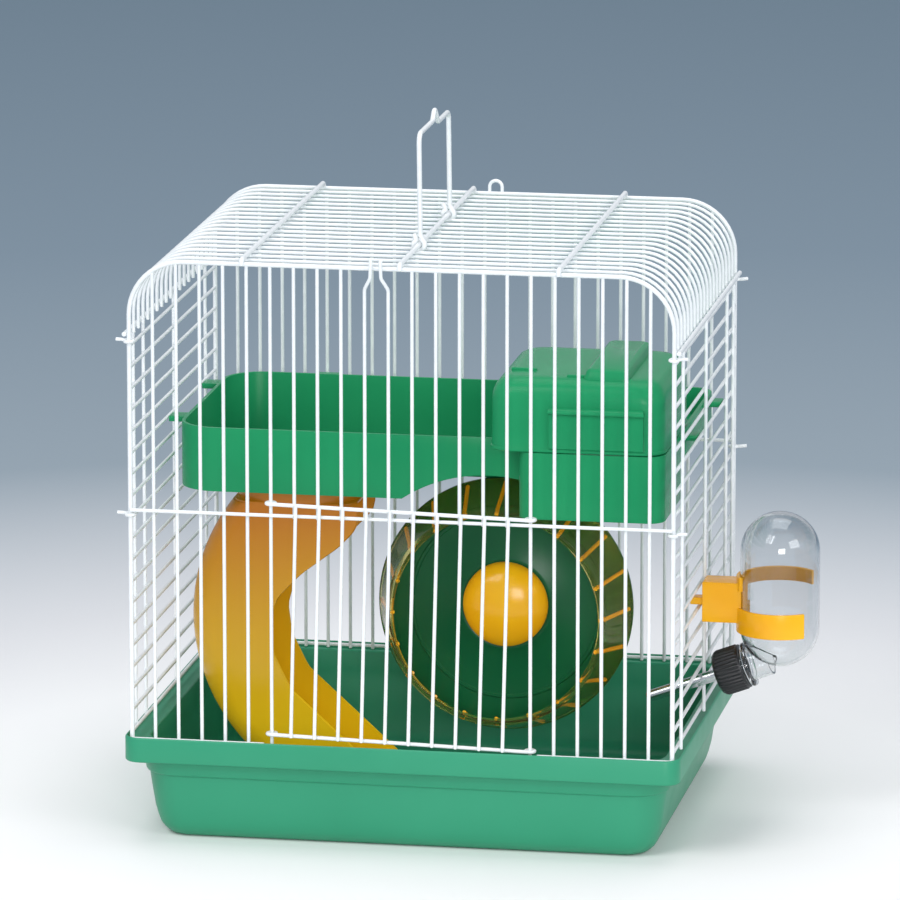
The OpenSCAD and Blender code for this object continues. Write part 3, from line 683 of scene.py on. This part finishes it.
# half width, half depth, corner radius, height; up the outside and down the bore
COLLAR_PROFILE = [
    (33.2, 25.2, 24.2, 177.0), (35, 27, 15.5, 177.0), (35, 27, 15.5, 178.1), (34.7, 26.7, 15.5, 178.4),
    (34.9, 26.9, 25.9, 178.5), (35, 27, 26, 179.2), (35.05, 27.05, 26, 186.2), (37, 29, 28, 186.6),
    (37.5, 29.5, 28.5, 187.3), (37.4, 29.4, 28.4, 188.1), (36.8, 28.8, 27.8, 188.5),
    (34.4, 26.4, 25.4, 188.5), (33.5, 25.5, 24.5, 188.2), (33.2, 25.2, 24.2, 187.4)]
collar = Shape()
collar.skin([rounded_rect(hx, hy, r, z, -73, SLIDE_Y, 10) for hx, hy, r, z in COLLAR_PROFILE], closed=True)
collar.build("slide_collar_ring", slide_mat, "cage")

# ----------------------------------------------------------------------- wheel
WHEEL_X, WHEEL_Z = 38, 113.4
RUNGS = 20
AXLE_HOLE_R = 2.56
HUB_R, HUB_BASE, HUB_RISE = 24, -2, 12


def at_wheel(y):
    """Matrix whose Z axis is the wheel's axis, towards the back, at the given depth."""
    return Matrix.Translation((WHEEL_X, y, WHEEL_Z)) @ Matrix.Rotation(math.radians(-90), 4, "X")


# radius and distance from the drum's open front edge
TRACK_PROFILE = [
    (57.6, 1.2), (57.9, 0.3), (58.8, 0.0), (60.6, 0.05), (61.5, 0.6), (61.7, 1.6), (61.3, 2.6),
    (61.4, 3.4), (64.4, 13), (68.0, 24), (71.4, 34.4), (71.95, 35.2), (71.9, 35.9), (70.4, 35.9),
    (70.1, 35.0), (66.4, 24), (62.8, 13), (59.8, 4.4), (59.2, 3.4), (58.0, 2.6)]
turned(TRACK_PROFILE, at_wheel(-32), 144).build("wheel_running_track", drum_mat, "wheel", ["wheel_track"])

rungs = Shape()
for k in range(RUNGS):
    a = 360 * k / RUNGS
    rungs.tube([(WHEEL_X + r * cosd(a), y, WHEEL_Z + r * sind(a)) for r, y in
                ((58.4, -28.2), (61.2, -20), (65.0, -9), (69.4, 3.2))], 1.15, 10)
rungs.build("wheel_rung_bars", amber_mat, "wheel", ["wheel_rungs"])

# two low ridges run round the disc's front
DISC_PROFILE = [
    (AXLE_HOLE_R, 0), (24, 0), (25, -0.6), (26.4, -0.6), (27.4, 0), (52, 0), (52.6, -0.7), (54, -0.7),
    (54.6, 0), (70.8, 0), (71.8, 0.5), (72, 1.2), (71.6, 1.8), (70.8, 2), (AXLE_HOLE_R, 2)]
turned(DISC_PROFILE, at_wheel(4), 144).build("wheel_rear_disc", dark_mat, "wheel", ["wheel_disc"])

foot_of_dome = [(AXLE_HOLE_R, -12), (AXLE_HOLE_R, 0), (23.5, 0), (HUB_R, -0.5), (HUB_R, HUB_BASE)]
dome = [(HUB_R * cosd(a), HUB_BASE - HUB_RISE * sind(a)) for a in range(6, 90, 6)]
top_of_dome = [(0.01, HUB_BASE - HUB_RISE), (0.01, -12)]
hub = turned(foot_of_dome + dome + top_of_dome, at_wheel(3.95), 96)
hub.build("wheel_hub_dome", amber_mat, "wheel", ["wheel_hub"])
keep("wheel_axle", steel_mat, 0.25)
keep("wheel_washer", steel_mat, 0.15)

# ---------------------------------------------------------------- water bottle
BOTTLE_X, BOTTLE_Y, BOTTLE_Z = 195.5, -20.0, 112.5
BOTTLE_R, BOTTLE_WALL, BOTTLE_STRAIGHT = 22.0, 1.2, 43.0
NECK_Z, NECK_SLOPE = 96.7, 20.5
NECK = (Matrix.Translation((BOTTLE_X, BOTTLE_Y, NECK_Z))
        @ Matrix.Rotation(math.radians(180 - NECK_SLOPE), 4, "Y") @ Matrix.Rotation(math.radians(90), 4, "Y"))


def capsule(r):
    """Profile of an upright cylinder with round ends, from its lower pole to its upper one."""
    step = 90 / 16
    lower = [(r * cosd(90 - k * step), -r * sind(90 - k * step)) for k in range(1, 17)]
    upper = [(r * cosd(k * step), BOTTLE_STRAIGHT + r * sind(k * step)) for k in range(16)]
    return lower + upper


def solid_of_revolution(name, profile, place, segments):
    """An object closed at both ends, for booleans."""
    rings = [[place @ Vector((r * cosd(360 * k / segments), r * sind(360 * k / segments), h))
              for k in range(segments)] for r, h in profile]
    return link_object(name, skinned(rings).mesh(name))


# radius and distance along the neck, with a collar and one turn of thread
NECK_PROFILE = [
    (9.5, 6), (9.5, 16.9), (10.1, 17.1), (12.3, 17.2), (12.5, 17.5), (12.5, 18.8), (12.3, 19.1),
    (9.5, 19.2), (9.5, 22), (9.9, 22.6), (9.5, 23.2), (9.5, 32.5), (9.2, 32.7)]
NECK_BORE = [(8.3, 4), (8.3, 36)]
upright = Matrix.Translation((BOTTLE_X, BOTTLE_Y, BOTTLE_Z))
outside = combine(solid_of_revolution("body", capsule(BOTTLE_R), upright, 96),
                  [solid_of_revolution("neck", NECK_PROFILE, NECK, 64)], "UNION")
inside = combine(solid_of_revolution("hollow", capsule(BOTTLE_R - BOTTLE_WALL), upright, 96),
                 [solid_of_revolution("bore", NECK_BORE, NECK, 64)], "UNION")
bottle = combine(link_object("outside", outside), [link_object("inside", inside)], "DIFFERENCE")
place_mesh(bottle, "bottle_shell", clear_mat, "bottle_unit", ["bottle_body"], 45)
keep("bottle_holder", amber_mat, 0.5)

# distances along the neck: where the cap starts, where it ends, and where the drinking tube ends
CAP_START, CAP_END = 20.5, 36.5
TUBE_END = CAP_END + 41
CAP_RIBS, CAP_SEGMENTS, RIB_DEPTH = 36, 216, 0.75
CAP_PROFILE = [
    (3.4, CAP_END), (3.4, CAP_END - 2.2), (9.8, CAP_END - 2.2), (9.8, CAP_START + 0.4), (10.1, CAP_START),
    (12.1, CAP_START), (12.4, CAP_START + 0.3), (12.4, CAP_START + 1.3), (12.9, CAP_START + 1.8),
    (12.9, CAP_END - 3.2), (12.3, CAP_END - 1.8), (11.2, CAP_END - 0.5), (9.8, CAP_END)]


def cap_ring(a):
    """The cap's section at an angle round the neck; only its widest part is ribbed."""
    groove = 0.5 * (1 + math.tanh(3.0 * sind(CAP_RIBS * a))) * RIB_DEPTH
    section = [(r - groove if r > 12.5 else r, h) for r, h in CAP_PROFILE]
    return [NECK @ Vector((r * cosd(a), r * sind(a), h)) for r, h in section]


cap = Shape()
cap.skin([cap_ring(360 * k / CAP_SEGMENTS) for k in range(CAP_SEGMENTS)], closed=True)
cap.build("bottle_ribbed_cap", black_mat, "bottle_screw_cap", ["bottle_cap"], sharp=45)
keep("cap_seal", rubber_mat)
TUBE_PROFILE = [
    (2.6, CAP_END - 1.9), (3.3, CAP_END - 1.9), (3.3, TUBE_END - 1.6), (3.2, TUBE_END - 0.6),
    (2.9, TUBE_END + 0.5), (2.5, TUBE_END + 1.1), (2.15, TUBE_END + 1.2), (2.1, TUBE_END + 0.6),
    (2.6, TUBE_END - 0.2)]
turned(TUBE_PROFILE, NECK, 48).build("drinking_tube_pipe", steel_mat, "bottle_screw_cap", ["drinking_tube"])
keep("drinking_ball", steel_mat)

# ------------------------------------------------- floor, light, camera (metres)
FLOOR = 30
floor_mesh = bpy.data.meshes.new("floor")
floor_mesh.from_pydata([(-FLOOR, -FLOOR, 0), (FLOOR, -FLOOR, 0), (FLOOR, FLOOR, 0), (-FLOOR, FLOOR, 0)],
                       [], [(0, 1, 2, 3)])
floor = link_object("floor", floor_mesh)
floor_mat = material("floor", (0.85, 0.86, 0.87), 0.9, Specular_IOR_Level=0.05)
floor_mesh.materials.append(floor_mat)
# painted pool of light and falloff shade: pale round the cage and darker with distance, up to 3 m away
floor_tree = floor_mat.node_tree
floor_place = floor_tree.nodes.new("ShaderNodeTexCoord")
distance = floor_tree.nodes.new("ShaderNodeVectorMath")
distance.operation = "LENGTH"
floor_tree.links.new(floor_place.outputs["Object"], distance.inputs[0])
color_ramp(floor_mat, map_range(floor_mat, distance.outputs["Value"], From_Min=0.0, From_Max=3.0), [
    (0.1, (0.94, 0.93, 0.925)), (0.16, (0.73, 0.73, 0.745)), (0.3, (0.315, 0.375, 0.425)),
    (0.55, (0.25, 0.32, 0.385)), (1.0, (0.235, 0.315, 0.385))])

world = bpy.data.worlds.new("studio")
world.use_nodes = True
background = world.node_tree.nodes["Background"]
background.inputs["Color"].default_value = (0.86, 0.92, 1.0, 1)
background.inputs["Strength"].default_value = 0.53
bpy.context.scene.world = world


def area_light(name, location, target, size, power):
    light = bpy.data.lights.new(name, "AREA")
    light.shape = "RECTANGLE"
    light.size, light.size_y = size
    light.energy = power
    ob = link_object(name, light)
    ob.location = location
    ob.rotation_euler = (Vector(target) - Vector(location)).to_track_quat("-Z", "Y").to_euler()


area_light("key", (-1.4, -2.2, 2.6), (0, 0, 0.15), (1.6, 1.6), 44)
area_light("front", (0.9, -3.4, 0.8), (0, 0, 0.12), (1.2, 1.0), 42)
area_light("fill", (2.4, -1.6, 1.6), (0, 0, 0.2), (1.6, 1.2), 21)
area_light("top", (0, 0.6, 3.0), (0, 0, 0.1), (2.2, 2.2), 30)

AZIMUTH, ELEVATION, DISTANCE = 10.1, 12.34, 4.4877
lens = bpy.data.cameras.new("camera")
lens.lens = 322.5
lens.sensor_width = 36
lens.clip_start, lens.clip_end = 0.1, 100
camera = link_object("camera", lens)
aim = Vector((6.92, 0, 200.8)) * MM
towards = Vector((sind(AZIMUTH) * cosd(ELEVATION), -cosd(AZIMUTH) * cosd(ELEVATION), sind(ELEVATION)))
camera.location = aim + towards * DISTANCE
camera.rotation_euler = (-towards).to_track_quat("-Z", "Y").to_euler()
bpy.context.scene.camera = camera
bpy.context.scene.view_settings.view_transform = "Standard"

bpy.context.view_layer.update()
